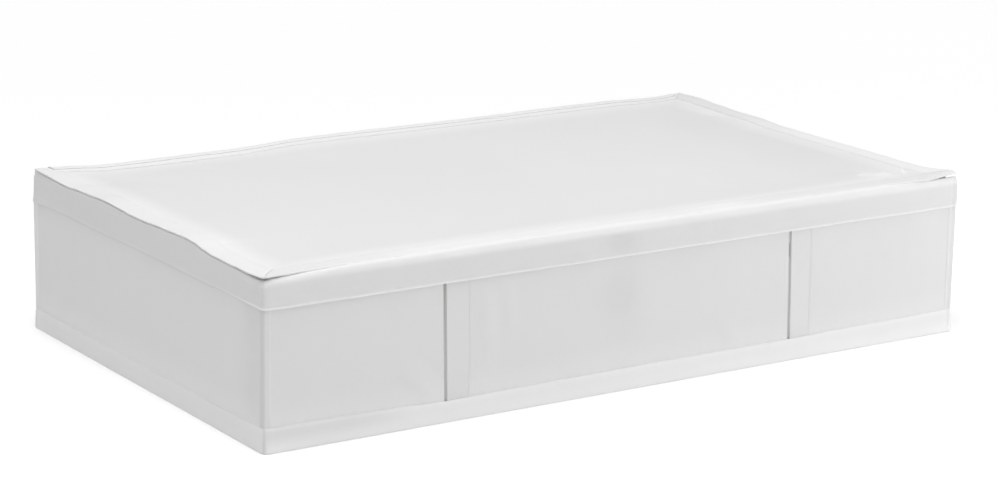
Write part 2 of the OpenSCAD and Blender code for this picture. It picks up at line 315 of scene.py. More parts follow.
def edge_lift(side, u):
    """How much higher than level a wall's top stands. It follows the lid, but for the end with the open zip,
    and the back between its corners."""
    if side == "right":
        return 3.4 * MM * smooth(u, HALF_D - 24 * MM, HALF_D)
    lift = through(u, LID_EDGES[side])
    if side == "back":
        lift = lift * (0.1 + 0.9 * smooth(np.abs(u), HALF_L - 22 * MM, HALF_L - 6 * MM))
    return lift


# Sections of the band above the seam as (depth, height) in millimetres: a fold at its lower edge, then up
# to its top edge
FOLDED = [
    (0.15, 160.0), (0.15, 155.2), (-0.3, 153.9), (-1.05, 153.75), (-1.5, 154.3), (-1.5, 155.0), (-1.1, 156.3),
    (-0.85, 158.0),
]
FLAT_FOLD = [
    (0.3, 160.0), (0.3, 155.3), (0.15, 154.35), (-0.02, 154.3), (-0.16, 155.0), (-0.3, 157.0), (-0.5, 159.4),
]
BAND_SECTIONS = {
    "roll": FOLDED + [
        (-1.4, 167.0), (-1.7, 174.5), (-1.4, 179.4), (-0.5, 183.3), (1.1, 186.6), (3.1, 188.6), (5.2, 189.3),
    ],
    "front_left": FOLDED + [
        (-0.9, 166.0), (-1.4, 173.0), (-1.5, 178.0), (-0.8, 181.5), (0.7, 184.4), (2.9, 186.6), (5.2, 187.8),
    ],
    "front_right": FOLDED + [
        (-0.9, 166.0), (-0.7, 173.0), (-0.4, 180.0), (0.0, 184.6), (1.0, 187.4), (2.2, 188.2), (3.4, 188.0),
    ],
    "left": FLAT_FOLD + [
        (-0.7, 166.0), (-0.5, 173.0), (-0.2, 180.0), (0.1, 184.8), (0.7, 186.9), (1.7, 187.35), (2.7, 187.2),
    ],
    "right": FOLDED + [
        (1.4, 160.4), (2.8, 163.6), (2.9, 169.0), (3.0, 174.0), (3.15, 177.3), (3.7, 177.2),
    ],
    "back": FOLDED + [
        (-0.1, 161.0), (1.0, 167.0), (2.0, 173.0), (2.7, 178.0), (3.1, 181.4), (3.6, 182.6),
    ],
    "back_corner": FOLDED + [
        (-0.4, 165.0), (0.1, 173.0), (0.8, 180.0), (1.4, 185.0), (2.1, 187.0), (2.9, 187.2),
    ],
}
BAND_ROWS = 64
# For each side: its section, the one at the corner where u is lowest, the one where u is highest,
# and how far from each corner the change is made, in millimetres
BAND_RUNS = {
    "front": ("roll", "front_left", "front_right", 125, 95),
    "right": ("right", "front_right", "back_corner", 22, 14),
    "back": ("back", "back_corner", "back_corner", 20, 20),
    "left": ("left", "back_corner", "front_left", 60, 70),
}
BAND_WRINKLES = {
    "front": [
        ((-42, 165), (4, 162), 12, -2.0), ((-330, 170), (-250, 176), 9, 0.5),
        ((250, 172), (330, 168), 9, -0.5),
    ],
    "left": [
        ((266, 154), (264, 186), 5, -1.8), ((-262, 178), (-238, 168), 7, -1.5),
        ((150, 176), (235, 166), 7, 0.6), ((40, 170), (120, 174), 8, -0.6),
    ],
}


def band_points(side, u):
    """The band's outer face along a side, as a grid of u by its section."""
    middle, low, high, low_run, high_run = BAND_RUNS[side]
    sections = {name: rounded(BAND_SECTIONS[name], BAND_ROWS) * MM for name in (middle, low, high)}
    last = half_turn(side)
    to_low = 1 - smooth(u + last, 3 * MM, low_run * MM)
    to_high = 1 - smooth(last - u, 3 * MM, high_run * MM)
    section = (
        sections[middle] * (1 - to_low - to_high)[:, None, None]
        + sections[low] * to_low[:, None, None]
        + sections[high] * to_high[:, None, None]
    )
    depth, z = section[..., 0], section[..., 1]
    z = z + edge_lift(side, u)[:, None] * smooth(z, SEAM_Z + 12 * MM, SEAM_Z + 27 * MM)
    low_part = 1 - smooth(z, SEAM_Z + 2 * MM, SEAM_Z + 12 * MM)
    place = wall(side, u[:, None], z, 0)
    upper = smooth(z, SEAM_Z, SEAM_Z + 10 * MM) * (1 - smooth(z, SEAM_Z + 26 * MM, SEAM_Z + 32 * MM))
    soft = MM * (0.55 * ripple(place, 0.16, 33, (1, 1, 0.6)) + 0.3 * ripple(place, 0.045, 36, (1, 1, 3)))
    for start, end, width, height in BAND_WRINKLES.get(side, ()):
        soft = soft + crease(u[:, None], z, start, end, width, height)
    if side in ("right", "back"):
        soft = soft * 0.25 - 0.1 * MM
    if side in ("front", "left"):
        corner_far = last - (u if side == "left" else -u)
        notch = 1.7 * MM * bell(corner_far, 7 * MM)[:, None]
        z = z - notch * smooth(z, SEAM_Z + 18 * MM, SEAM_Z + 30 * MM)
    ridge = seam_ridge(side, u)[:, None]
    depth = depth - (drape(side, u[:, None], z) - ridge) * low_part - ridge - soft * upper
    return wall(side, u[:, None], z, depth)


# ---- The lid's shape ----

# Start and end in plan, width and height, in millimetres
LID_WRINKLES = [
    ((-425, 252), (-170, 246), 7, -1.3), ((-170, 246), (120, 250), 6, -0.5),
    ((120, 250), (400, 246), 6, -0.4), ((426, -230), (440, -204), 4, -3.6),
    ((390, -213), (405, -226), 6, 3.6), ((370, -207), (385, -216), 6, 3.2),
    ((418, 190), (436, 130), 5, -1.8), ((414, 60), (424, -120), 6, -1.2), ((440, 170), (452, 60), 5, 0.9),
    ((-440, -246), (-395, -250), 10, 0.9), ((-300, 215), (-262, 180), 12, -0.6),
    ((-436, 150), (-400, 200), 12, -0.5),
]


def lid_rise(x, y):
    """How much higher than flat the lid lies: its edges follow the walls, and it sags between them."""
    front, back, left, right = y + HALF_D, LID_BACK - y, x + HALF_L, HALF_L - x
    rise, total, middle = 0, 0, 1
    edges = {"front": (front, x), "right": (right, y), "back": (back, -x), "left": (left, -y)}
    for side, (far, along) in edges.items():
        share = np.exp(-far / (22 * MM))
        rise = rise + share * through(along, LID_EDGES[side])
        total = total + share
        middle = middle * (1 - bell(np.maximum(far, 0), 70 * MM))
    rise = rise / total * (1 - middle)
    curl = np.exp(-((right / (28 * MM)) ** 2) - (front / (36 * MM)) ** 2)
    pinch = np.exp(-((left / (26 * MM)) ** 2) - (front / (20 * MM)) ** 2)
    inner = smooth(np.minimum.reduce([front, back, left, right]), 8 * MM, 120 * MM)
    place = spots(x, y, 0)
    rise = rise + MM * (5.6 * curl + 0.6 * pinch) - 1.6 * MM * curl * bell(front, 5 * MM)
    rise = rise + inner * MM * (0.9 * ripple(place, 0.42, 51) + 0.25 * ripple(place, 0.12, 53) - 3.2)
    near = np.exp(-np.minimum(np.minimum(left, right), np.minimum(front, back)) / (18 * MM))
    rise = rise + MM * 0.22 * ripple(place, 0.03, 57) * near
    for start, end, width, height in LID_WRINKLES:
        rise = rise + crease(x, y, start, end, width, height)
    return rise


def lid_place(x, y, height):
    """A point of the lid in plan and its height over the flat lid's top, put on the lid's real shape."""
    x, y = np.broadcast_arrays(x, y)
    z = LID_Z + height + lid_rise(x, y)
    corner = 5 * MM
    over_x = np.clip(corner - (HALF_L - np.abs(x)), 0, None)
    front = np.clip(corner - (y + HALF_D), 0, None)
    square = np.maximum(over_x, front)
    ratio = square / np.maximum(np.hypot(over_x, front), 1e-9)
    x = x + np.sign(x) * over_x * (ratio - 1)
    inset = np.where(x < 0, smooth(HALF_L + x, -12 * MM, 60 * MM), smooth(HALF_L - x, 20 * MM, 130 * MM))
    inset = 4.8 * MM * inset * (1 - smooth(y + HALF_D, 5 * MM, 60 * MM))
    y = y - front * (ratio - 1) + inset
    return spots(x, y, z)


# ---- Building pieces ----

def grid_normals(points):
    """The direction out of a grid of points, at each of them."""
    return unit(np.cross(np.gradient(points, axis=0), np.gradient(points, axis=1)))


def in_scene(name, data):
    """A new object in the scene with this mesh, light or camera."""
    thing = bpy.data.objects.new(name, data)
    bpy.context.scene.collection.objects.link(thing)
    return thing


def mesh_object(name, points, faces, uvs=None):
    mesh = bpy.data.meshes.new(name)
    mesh.from_pydata(points.tolist(), [], [tuple(face) for face in faces])
    mesh.polygons.foreach_set("use_smooth", [True] * len(mesh.polygons))
    if uvs is not None:
        layer = mesh.uv_layers.new(name="cloth")
        corners = np.zeros(len(mesh.loops), np.int32)
        mesh.loops.foreach_get("vertex_index", corners)
        layer.data.foreach_set("uv", uvs[corners].astype(np.float32).ravel())
    return in_scene(name, mesh)


def grid_data(points, flip):
    """The flat list of points, the faces and the cloth coordinates, in metres, of a grid."""
    index = np.arange(points[..., 0].size).reshape(points.shape[:2])
    faces = np.stack([index[:-1, :-1], index[1:, :-1], index[1:, 1:], index[:-1, 1:]], axis=-1).reshape(-1, 4)
    if flip:
        faces = faces[:, ::-1]
    steps_u = np.linalg.norm(np.diff(points, axis=0), axis=-1).mean(axis=1)
    steps_v = np.linalg.norm(np.diff(points, axis=1), axis=-1).mean(axis=0)
    u = np.concatenate([[0], np.cumsum(steps_u)])
    v = np.concatenate([[0], np.cumsum(steps_v)])
    uvs = np.stack(np.broadcast_arrays(u[:, None], v), axis=-1).reshape(-1, 2)
    return points.reshape(-1, 3), faces, uvs


def cloth(name, grids, thickness, flip=False):
    """A piece of cloth from a grid of points on its face, or from a list of them. Its thickness is behind
    the face."""
    points, faces, uvs, start = [], [], [], 0
    for grid in grids if isinstance(grids, list) else [grids]:
        p, f, uv = grid_data(grid, flip)
        points.append(p)
        faces.append(f + start)
        uvs.append(uv)
        start += len(p)
    piece = mesh_object(f"{name}_cloth", np.vstack(points), np.vstack(faces), np.vstack(uvs))
    solid = piece.modifiers.new("thickness", "SOLIDIFY")
    solid.thickness = thickness
    solid.offset = -1
    return piece


def dress(piece, body, kind, *nodes):
    """Gives a piece its body and material, and the CAD nodes that it stands for."""
    slot, material = kind
    piece.data.materials.append(material)
    if "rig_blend" not in piece:
        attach(piece, body)
    if nodes:
        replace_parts(piece, *nodes)
    return piece


def sewn(name, points, thickness, body, kind, share=None, flip=False):
    """A piece of cloth that stands for the CAD node of its name. share says how far each of its points takes
    its material's second colour."""
    piece = cloth(name, points, thickness, flip)
    if share is not None:
        # The attribute holds the piece's tone and, on most pieces, painted light and shade.
        tone_and_painted_light = piece.data.attributes.new("tone_and_painted_light", "FLOAT", "POINT")
        share = np.broadcast_to(share, points.shape[:2])
        tone_and_painted_light.data.foreach_set("value", share.astype(np.float32).ravel())
    return dress(piece, body, kind, name)


def ring_faces(index):
    """The faces between rings of points, given the points' numbers, one row for each ring."""
    around = np.roll(index, -1, axis=1)
    return np.stack([index[:-1], around[:-1], around[1:], index[1:]], axis=-1).reshape(-1, 4)


def tube(line, radius, guide, sides):
    """The points and faces of a tube along a line. guide is a direction that the line never takes."""
    tangent = unit(np.gradient(line, axis=0))
    a = unit(np.cross(tangent, guide))
    b = np.cross(tangent, a)
    angle = np.arange(sides) * math.tau / sides
    ring = a[:, None] * np.cos(angle)[None, :, None] + b[:, None] * np.sin(angle)[None, :, None]
    index = np.arange(len(line) * sides).reshape(-1, sides)
    return (line[:, None] + ring * radius).reshape(-1, 3), ring_faces(index), index


def stitch_line(points, normals):
    """Middles, directions and outward directions of the stitches along a line of points."""
    far = distances(points)
    at = np.arange(STITCH_PITCH, far[-1] - STITCH_PITCH / 2, STITCH_PITCH)

    def on_line(values, where):
        return np.stack([np.interp(where, far, values[:, k]) for k in range(3)], axis=1)

    along = unit(on_line(points, at + STITCH_L / 2) - on_line(points, at - STITCH_L / 2))
    return on_line(points, at), along, on_line(normals, at)


def row_line(points, row, inset=0, facing=1):
    """A stitch line along a grid, on one of its rows, starting and ending some columns in."""
    rows = slice(inset, len(points) - inset)
    return stitch_line(points[rows, row], facing * grid_normals(points)[rows, row])


def column_line(points, column, inset=0, facing=1):
    """A stitch line up a grid, on one of its columns, starting and ending some rows in."""
    return row_line(points.swapaxes(0, 1), column, inset, -facing)


def stitches(name, lines, body):
    """One piece holding every stitch of the given lines: short arched runs of thread, sunk at both ends."""
    sides, rings = 5, 5
    s = np.linspace(-1, 1, rings)
    angle = np.arange(sides) * math.tau / sides
    thick = THREAD_R * np.sqrt(1 - 0.75 * s**2)
    template = np.stack([
        np.repeat(s * STITCH_L / 2, sides),
        np.outer(thick, np.cos(angle)).ravel(),
        np.outer(thick, np.sin(angle)).ravel() + np.repeat((0.16 - 0.3 * s**2) * MM, sides),
    ], axis=1)
    index = np.arange(rings * sides).reshape(rings, sides)
    quads = ring_faces(index)
    middle, along, out = (np.vstack(part) for part in zip(*lines))
    across = unit(np.cross(out, along))
    out = np.cross(along, across)
    axes = np.stack([along, across, out], axis=1)
    points = (middle[:, None] + np.einsum("tk,nkc->ntc", template, axes)).reshape(-1, 3)
    starts = np.arange(len(middle)) * len(template)
    faces = [tuple(f) for f in (quads[None] + starts[:, None, None]).reshape(-1, 4)]
    ends = np.stack([index[0][::-1], index[-1]])
    faces += [tuple(f) for f in (ends[None] + starts[:, None, None]).reshape(-1, sides)]
    return dress(mesh_object(name, points, faces), body, THREAD)


# ---- Materials ----

def blank_material(name):
    """A material with one Principled shader. The first function that comes with it adds a node and gives one
    of its outputs, the second sets the shader. An output given as a socket's value is linked to it."""
    material = bpy.data.materials.new(name)
    material.use_nodes = True
    tree = material.node_tree

    def fill(node, values):
        for socket, value in values.items():
            if isinstance(value, bpy.types.NodeSocket):
                tree.links.new(value, node.inputs[socket])
            else:
                node.inputs[socket].default_value = value

    def add(kind, output, values=None, **settings):
        node = tree.nodes.new(kind)
        for key, value in settings.items():
            setattr(node, key, value)
        fill(node, values or {})
        return node.outputs[output]

    def finished(values):
        fill(tree.nodes["Principled BSDF"], values)
        return material

    return add, finished


def mixed(add, factor, low, high):
    """A colour between two, by a node's output from 0 to 1."""
    ramp = add("ShaderNodeValToRGB", "Color", {"Fac": factor})
    ends = ramp.node.color_ramp.elements
    ends[0].color = (*low, 1)
    ends[1].color = (*high, 1)
    return ramp


def noisy(add, place, scale, detail, roughness=0.5):
    values = {"Vector": place, "Scale": scale, "Detail": detail, "Roughness": roughness}
    return add("ShaderNodeTexNoise", "Fac", values)


def bumpy(add, height, distance, strength, under=None):
    """The normal over a node's output as a height, added to the one under it."""
    values = {"Height": height, "Distance": distance, "Strength": strength}
    if under is not None:
        values["Normal"] = under
    return add("ShaderNodeBump", "Normal", values)


def woven(name, colour, thread=0.45 * MM, relief=0.12, second=None):
    """Plain woven cloth: crossing threads, slubs, a little fuzz, and slight unevenness in its colour.
    With a second colour, the cloth takes it where its point attribute "doubled" is 1."""
    patchy, slub, fuzz = 0.012, 0.02, 0.5
    add, finished = blank_material(name)
    uv = add("ShaderNodeUVMap", "UV", uv_map="cloth")
    place = add("ShaderNodeTexCoord", "Object")
    period = math.tau / 20 / (2 * thread)
    waves = {"Vector": uv, "Scale": period, "Distortion": 0.6, "Detail": 1.0, "Detail Scale": 0.4}
    signed = []
    for direction in ("X", "Y"):
        wave = add("ShaderNodeTexWave", "Fac", waves, bands_direction=direction)
        signed.append(add("ShaderNodeMath", 0, {0: wave, 1: 0.5}, operation="SUBTRACT"))
    crossing = add("ShaderNodeMath", 0, dict(enumerate(signed)), operation="MULTIPLY")
    # slubs: thicker stretches of thread, along each of the two directions
    slubs = []
    for scale in ((90, 1600, 1), (1600, 90, 1)):
        stretched = add("ShaderNodeMapping", 0, {"Vector": uv, "Scale": scale})
        slubs.append(noisy(add, stretched, 1.0, 2.0))
    both = add("ShaderNodeMath", 0, dict(enumerate(slubs)), operation="MAXIMUM")
    cloudy = noisy(add, place, 9.0, 4.0, 0.55)
    shade = add("ShaderNodeMapRange", "Result", {"Value": both, "From Min": 0.35, "From Max": 0.72})
    base = np.array(colour)
    tone = mixed(add, cloudy, base * (1 - patchy), np.minimum(base * (1 + patchy), 1))
    if second is not None:
        # The attribute mixes in the second colour: the piece's tone and, on most pieces, painted light and
        # shade.
        tone_and_painted_light = add("ShaderNodeAttribute", "Fac", attribute_name="tone_and_painted_light")
        tone_mix_with_painted_light = {"Factor": tone_and_painted_light, "A": tone, "B": (*second, 1)}
        tone = add("ShaderNodeMix", "Result", tone_mix_with_painted_light, data_type="RGBA")
    darker = {"Factor": shade, "A": tone, "B": (1 - slub, 1 - slub, 1 - slub, 1)}
    normal = bumpy(add, noisy(add, place, 70.0, 3.0), 0.5 * MM, 0.25)
    normal = bumpy(add, crossing, relief * MM, 0.6, normal)
    normal = bumpy(add, both, 0.06 * MM, 0.5, normal)
    return finished({
        "Base Color": add("ShaderNodeMix", "Result", darker, data_type="RGBA", blend_type="MULTIPLY"),
        "Roughness": add("ShaderNodeMapRange", "Result", {"Value": cloudy, "To Min": 0.68, "To Max": 0.86}),
        "Normal": bumpy(add, noisy(add, place, 1400.0, 3.0), 0.05 * MM, fuzz, normal),
        "Sheen Weight": 0.12, "Sheen Roughness": 0.5, "Specular IOR Level": 0.3,
    })


def moulded(name, colour, roughness, metallic=0.0, grain=900.0):
    """Painted metal or moulded plastic, with a faint grain and slightly uneven gloss."""
    add, finished = blank_material(name)
    place = add("ShaderNodeTexCoord", "Object")
    noise = noisy(add, place, grain, 3.0)
    base = np.array(colour)
    gloss = {"Value": noise, "To Min": roughness - 0.06, "To Max": roughness + 0.06}
    return finished({
        "Base Color": mixed(add, noise, base * 0.97, np.minimum(base * 1.02, 1)),
        "Roughness": add("ShaderNodeMapRange", "Result", gloss),
        "Normal": bumpy(add, noise, 0.03 * MM, 0.35),
        "Metallic": metallic,
    })


def twisted(name, colour):
    """Sewing thread: plies that turn round it."""
    add, finished = blank_material(name)
    turns = {"Vector": add("ShaderNodeTexCoord", "Object"), "Scale": 500.0, "Distortion": 1.0}
    plies = add("ShaderNodeTexWave", "Fac", turns, bands_direction="DIAGONAL")
    base = np.array(colour)
    return finished({
        "Base Color": mixed(add, plies, base * 0.95, base),
        "Normal": bumpy(add, plies, 0.05 * MM, 0.4),
        "Roughness": 0.6,
    })


def fibre_board(name, colour):
    """Grey board: pressed fibres, specks and a soft grain."""
    add, finished = blank_material(name)
    place = add("ShaderNodeTexCoord", "Object")
    fibres = noisy(add, place, 420.0, 6.0, 0.7)
    specks = add("ShaderNodeTexVoronoi", "Distance", {"Vector": place, "Scale": 260.0})
    base = np.array(colour)
    body = mixed(add, fibres, base * 0.86, base * 1.06)
    dark = mixed(add, specks, (0.72, 0.7, 0.66), (1, 1, 1))
    speckled = {"Factor": 0.35, "A": body, "B": dark}
    return finished({
        "Base Color": add("ShaderNodeMix", "Result", speckled, data_type="RGBA", blend_type="MULTIPLY"),
        "Normal": bumpy(add, fibres, 0.12 * MM, 0.4),
        "Roughness": 0.88,
    })


# Each kind of cloth, thread and coil: its record slot and its material
COARSE = {"thread": 0.6 * MM, "relief": 0.16}
HEMMED = {"thread": 0.6 * MM, "relief": 0.14}
# The shell's lighter second colour, mixed at PLAIN, gives the cloth's own tone; more of it is painted light,
# and less of it is painted shade.
SHELL = "shell_cloth", woven("shell weave", (0.735, 0.735, 0.737), second=(0.86, 0.86, 0.862))
TRIM = "trim_cloth", woven("trim weave", (0.775, 0.775, 0.777), **COARSE)
# The strip's darker second colour is painted shade, where the strip is seen through a slit.
STRIP = "trim_cloth", woven("strip weave", (0.775, 0.775, 0.777), second=(0.62, 0.62, 0.62), **COARSE)
# The binding's darker first colour is painted shade in the corner's crease; its second colour is the legs'
# tone.
BINDING = "trim_cloth", woven("binding weave", (0.68, 0.68, 0.682), second=(0.86, 0.86, 0.862), **COARSE)
# The hem's lighter second colour paints light at the hems' feet, highlights on their folded edges, and
# lighter stretches of the lid's border.
FOLDED_EDGE = "trim_cloth", woven("hem weave", (0.80, 0.80, 0.802), second=(0.93, 0.93, 0.932), **HEMMED)
HINGE_CLOTH = "trim_cloth", woven("border weave", (0.86, 0.86, 0.862), **HEMMED)
LINING = "lining_cloth", woven("lining weave", (0.76, 0.76, 0.765), thread=0.35 * MM, relief=0.08)
TAPE = "zip_tape", woven("tape weave", (0.80, 0.80, 0.80), thread=0.8 * MM, relief=0.22)
THREAD = "trim_cloth", twisted("thread", (0.88, 0.88, 0.88))
COIL = "zip_coil", moulded("coil plastic", (0.82, 0.82, 0.82), 0.38)
METAL = moulded("lacquered metal", (0.66, 0.66, 0.67), 0.33, metallic=0.25, grain=260.0)
BOARD = fibre_board("grey board", (0.45, 0.44, 0.42))


# ---- Outer walls ----

ROW_STEP = 3.6 * MM
SKIN_ROWS = spread(HEM_Z - 3 * MM, SEAM_Z + 2 * MM, ROW_STEP)
EDGE_R = 0.44 * MM      # round a turned edge
TURNED_IN = 7 * MM      # how far its cloth goes back behind it
TURNED_COLUMNS = 9      # and how many columns of a grid that takes
# How far the edges beside each slit stand to the right of upright, in millimetres: at the seam and at the hem
LEANS = {"front_fold_left": (0.0, 2.3), "front_fold_right": (-1.3, 2.2)}


def skin_columns(side, low, high):
    """Places along a skin, and how deep each is. Its edge at low or high is turned in behind. Where one is
    None, the skin goes round that corner instead."""
    straight = SIDES[side][2] - CORNER_R
    corner = np.linspace(straight, half_turn(side), 5)[1:]
    turn = np.linspace(0, math.pi, 7)[1:]
    back = np.concatenate([EDGE_R - EDGE_R * np.sin(turn), [EDGE_R + 0.5 * MM, TURNED_IN]])
    behind = np.concatenate([EDGE_R - EDGE_R * np.cos(turn), [2 * EDGE_R, 2 * EDGE_R]])
    u = spread(-straight if low is None else low + EDGE_R, straight if high is None else high - EDGE_R)
    first, first_deep = (-corner, 0 * corner) if low is None else (low + back, behind)
    last, last_deep = (corner, 0 * corner) if high is None else (high - back, behind)
    return np.concatenate([first[::-1], u, last]), np.concatenate([first_deep[::-1], 0 * u, last_deep])


def lean(side, u, z):
    """u, moved sideways near the slits, which are not quite upright."""
    u, z = np.broadcast_arrays(u, z)
    if side in ("left", "right"):
        return u
    foot = np.clip((SEAM_Z - z) / (SEAM_Z - HEM_Z), 0, 1)
    for name, (at_seam, at_hem) in LEANS.items():
        near = bell(u - FOLD_STRIPS[name][0], 45 * MM)
        u = u + MM * near * (at_seam + (at_hem - at_seam) * foot)
    return u


def skin_points(side, u, z, deep):
    """A grid of points on the outer cloth, each column as deep behind its face as deep says."""
    u = u[:, None]
    return wall(side, lean(side, u, z), z, SKIN_DEPTH + deep[:, None] - drape(side, u, z))


# How far the shell's cloth takes its second colour, and where shade is painted into it: start, end, width and
# how much
PLAIN = 0.32
SHELL_PAINTED_SHADE = {
    "front": [((-26, 142), (-16, 80), 26, 1.2), ((-40, 174), (-2, 171), 9, 1.3)],
    "left": [
        ((274, 20), (274, 100), 34, 1.6), ((274, 100), (274, 190), 34, 1.6),
        ((-275, 172), (520, 172), 18, 2.2),
    ],
}


def plain_share(side, points):
    """The share of the shell's second colour at each point, less where shade is painted in."""
    along, z, dim = points @ np.array(SIDES[side][0]), points[..., 2], 0
    for start, end, width, depth in SHELL_PAINTED_SHADE.get(side, ()):
        dim = dim + crease(along, z, start, end, width, depth) / MM
    return PLAIN * (1 - np.clip(dim, 0, 1))


def skin(side, name, low=None, high=None):
    """The cloth of a pocket, or of a whole end wall. Towards the hem it is painted lighter, standing in for
    light from the floor."""
    u, deep = skin_columns(side, low, high)
    points = skin_points(side, u, SKIN_ROWS, deep)
    # Painted light: lighter towards the hem, standing in for light from the floor.
    over = 1 - smooth(points[..., 2], HEM_Z - 2 * MM, HEM_Z + 42 * MM)
    piece = sewn(name, points, THICK["skin"], "case", SHELL, plain_share(side, points) + 0.37 * over)
    return piece, points, u


def fold_strip(side, name, low, high):
    """The strip between two pockets. It lies a little deeper, and its edge at the slit stands up in a small
    roll. Where it is seen through the slit it is painted darker, as shade."""
    u = np.concatenate([
        spread(low - 9 * MM, low - 2 * MM, 2 * MM), spread(low - 1.5 * MM, low + 3 * MM, 0.3 * MM),
        spread(low + 4 * MM, high - 3 * MM, 2 * MM), spread(high - 2.5 * MM, high + 4 * MM, 0.5 * MM),
    ])
    rise = 0.2 * MM * bell(u - low - 1.0 * MM, 1.1 * MM)
    on_strip = smooth(u, low - 0.3 * MM, low + 0.3 * MM) * (1 - smooth(u, high, high + 0.9 * MM))
    rise = rise + 0.62 * MM * on_strip
    rise = rise - 0.8 * MM * (1 - smooth(u, low - 0.5 * MM, low))
    z = spread(HEM_Z - 3 * MM, SEAM_Z + 1.5 * MM, ROW_STEP)
    points = skin_points(side, u, z, 0.95 * MM - rise)
    # Painted shade: the cloth seen through the slit takes the strip's darker second colour.
    share = 1 - smooth(u, low - 0.4 * MM, low + 0.2 * MM)
    return sewn(name, points, THICK["strip"], "case", STRIP, share[:, None]), points, u


# For each side: (place along it, how much higher than the part's hem the cloth one reaches), in millimetres
HEM_EDGES = {
    "front": [
        (-465, 5.2), (-375, 5.0), (-300, 3.6), (-245, 1.4), (-160, 1.8), (-65, 3.0), (60, 3.4), (200, 3.2),
        (330, 4.8), (465, 5.6),
    ],
    "right": [(-275, 5.6), (-120, 3.0), (275, 3.0)],
    "back": [(-465, 3.0), (465, 3.0)],
    "left": [(-275, 3.0), (120, 3.0), (275, 5.2)],
}


def hem_share(side, u, level):
    """The share of the second colour in a hem. On the front and left it is painted: lighter at its foot,
    standing in for light from the floor, with a painted highlight along the front's folded edge, and painted
    shade on the left side and towards the front left corner.
    """
    if side in ("right", "back"):
        return 0.45
    foot = 1 - smooth(level, 0.1, 0.8)
    if side == "left":
        far = half_turn(side) - u
        share = 0.26 + 0.22 * foot
    else:
        far = half_turn(side) + u
        upper = 0.68 * smooth(far, 100 * MM, 200 * MM) - 0.16 * smooth(far, 700 * MM, 880 * MM)
        share = upper + (1 - upper) * (foot + 0.3 * smooth(level, 0.9, 0.95))
    return share * (1 - bell(far, 2.4 * MM))


def hem(side):
    section = rounded([
        (0.3, 17.5), (0.3, 21.6), (0.16, 22.3), (-0.12, 22.3), (-0.35, 21.4), (-0.6, 18.0), (-1.15, 10.0),
        (-1.75, 2.6), (-1.5, 0.8), (-0.5, 0.36), (1.9, 0.34),
    ], 40) * MM
    behind = 6  # rows at the back of the folded edge
    u = columns(side)
    level = section[:, 1] / HEM_Z
    z = level * (HEM_Z + through(u, HEM_EDGES[side]))[:, None]
    ridge = seam_ridge(side, u)[:, None]
    loose = (drape(side, u[:, None], np.maximum(z, 2 * MM)) - ridge) * smooth(z, -2 * MM, 17 * MM) + ridge
    proud = 0.45 if side == "left" else 1
    depth = np.where(section[:, 0] < 0, proud, 1) * section[:, 0]
    points = wall(side, u[:, None], z, depth - loose)
    share = hem_share(side, u[:, None], level)
    piece = sewn(f"{side}_hem", points, THICK["hem"], "case", FOLDED_EDGE, share)
    return piece, row_line(points, behind + nearest(section[behind:, 1], HEM_Z - 2.5 * MM))


def band(side):
    u = columns(side)
    points = band_points(side, u)
    z = points[..., 2]
    # Painted highlights: lighter along the fold at the band's lower edge and along its rolled top; on the
    # left side only along the fold, towards the front corner.
    folded = 1 - smooth(z, SEAM_Z + 0.8 * MM, SEAM_Z + 1.8 * MM)
    top = smooth(z, SEAM_Z + 23 * MM, SEAM_Z + 29 * MM)
    if side == "left":
        folded, top = folded * smooth(u, 90 * MM, HALF_D)[:, None], 0
    plain = plain_share(side, points)
    share = plain + (1 - plain) * np.maximum(folded, top)
    piece = sewn(f"{side}_band", points, THICK["band"], "case", SHELL, share)
    height = z[len(u) // 2]
    low_edge = int(np.argmin(height))
    return piece, row_line(points, low_edge + nearest(height[low_edge:], SEAM_Z + STITCH_IN))


CORNERS = {
    "corner_front_left": ("left", "front"),
    "corner_front_right": ("front", "right"),
    "corner_back_right": ("right", "back"),
    "corner_back_left": ("back", "left"),
}


def corner_binding(name):
    """A tape folded over an upright corner, from the hem to the band."""
    before, after = CORNERS[name]
    leg = BINDING_LEG
    hem_top = HEM_Z + MM * HEM_EDGES[before][-1][1]
    z = spread(hem_top - 2 * MM, SEAM_Z + 1 * MM, ROW_STEP)
    w = np.concatenate([-np.linspace(leg, 0.4 * MM, 12), np.linspace(0.4 * MM, leg, 12)])
    crown = 0.35 * MM * bell(np.abs(w), 2.6 * MM) - 0.45 * MM * smooth(np.abs(w), leg - 3.5 * MM, leg)
    grids = []
    for side, part in ((before, w < 0), (after, w > 0)):
        last = half_turn(side)
        u = w[part] + (last if side == before else -last)
        depth = SKIN_DEPTH - 0.42 * MM - crown[part][:, None] - drape(side, u[:, None], z)
        grids.append(wall(side, u[:, None], z, depth))
    points = np.vstack(grids)
    # Painted shade: the binding keeps its darker first colour along the corner's crease and, at the front
    # left corner, over its left leg as well.
    share = 0.78 * smooth(np.abs(w), 0, 2 * MM)
    if name == "corner_front_left":
        share = 0.55 * np.maximum(smooth(w, -1.6 * MM, 2.0 * MM), 0.4 * smooth(-w, 2.5 * MM, leg))
    piece = sewn(name, points, THICK["binding"], "case", BINDING, share[:, None])
    return piece, [column_line(points, column, 1) for column in (2, len(w) - 3)]


